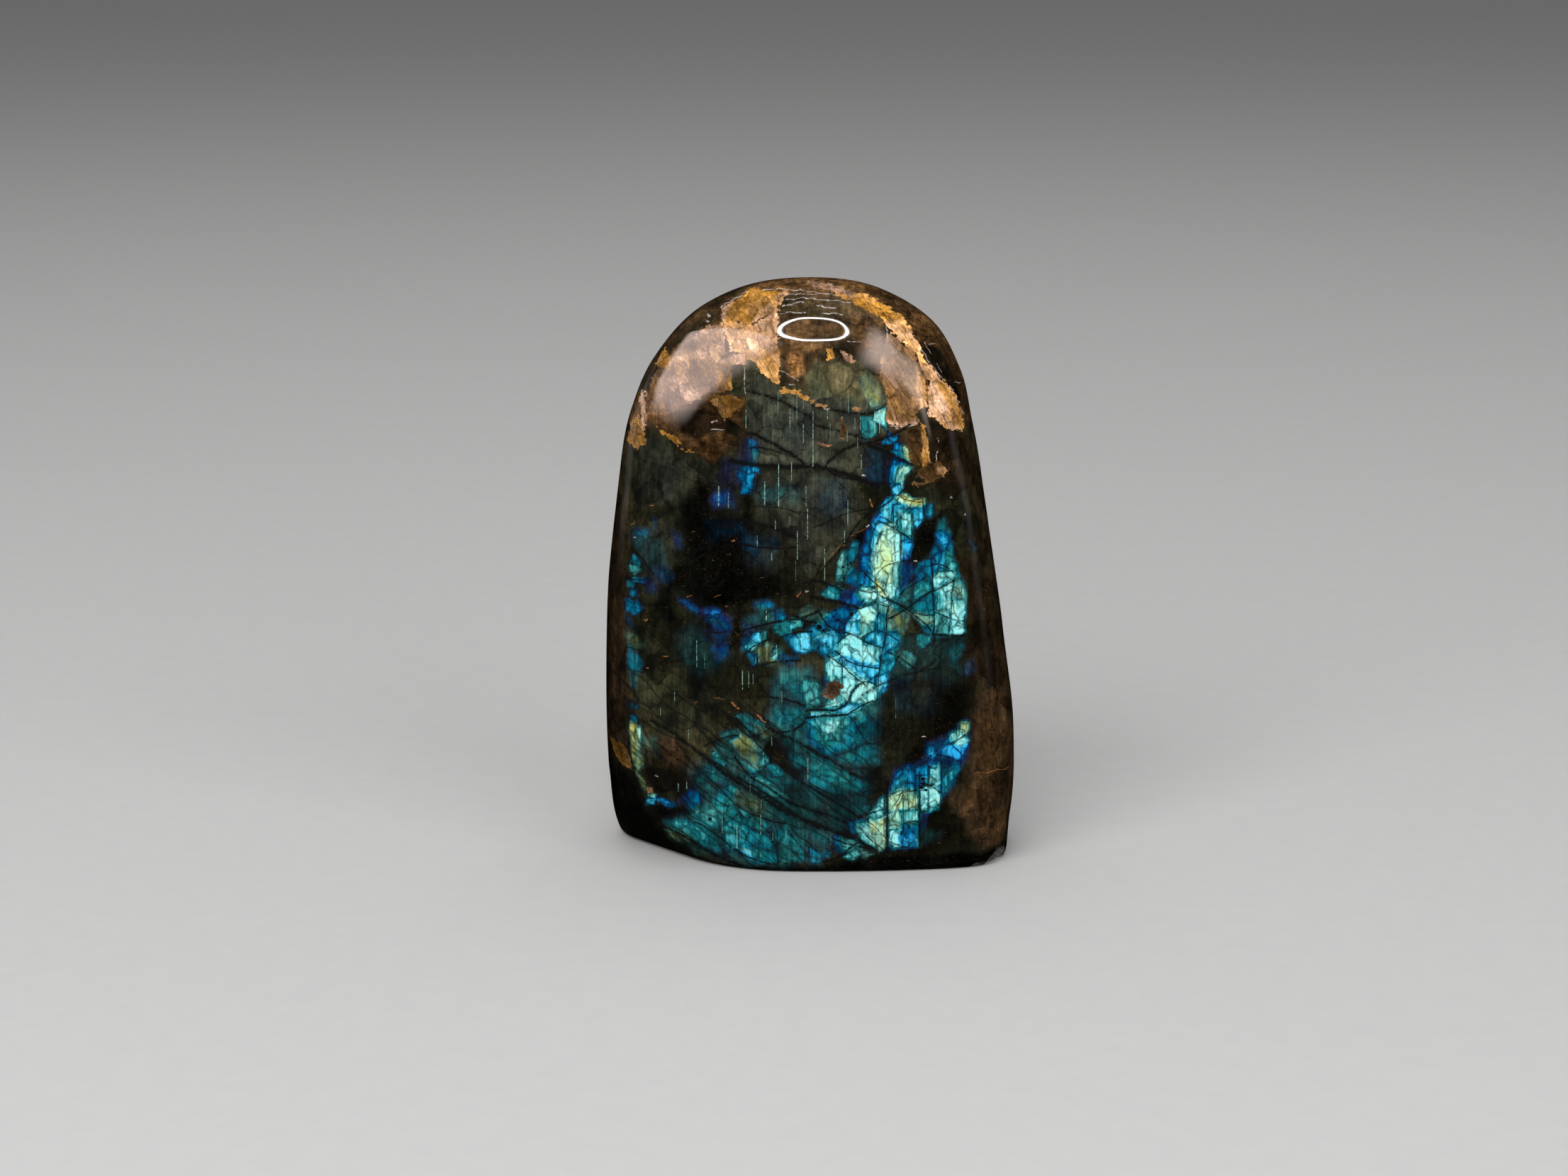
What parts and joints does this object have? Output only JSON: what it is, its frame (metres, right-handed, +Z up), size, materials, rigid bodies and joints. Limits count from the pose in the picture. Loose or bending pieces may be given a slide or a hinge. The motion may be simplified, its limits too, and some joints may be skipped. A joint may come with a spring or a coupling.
{
  "type": "polished labradorite freeform",
  "caption": "Free-standing polished labradorite with a domed top, a broad show face with blue and green flash, rounded sides and a sawn flat foot.",
  "frame": {"origin": "middle of the stone's footprint box, on the plane of the sawn foot", "axes": "+Z up through the dome, show face towards -Y, +X to the right of someone looking at the show face"},
  "size_m": [0.079, 0.046, 0.1108],
  "materials": {
    "labradorite": "polished"
  },
  "bodies": {
    "root": {"stone": "labradorite"}
  },
  "joints": []
}
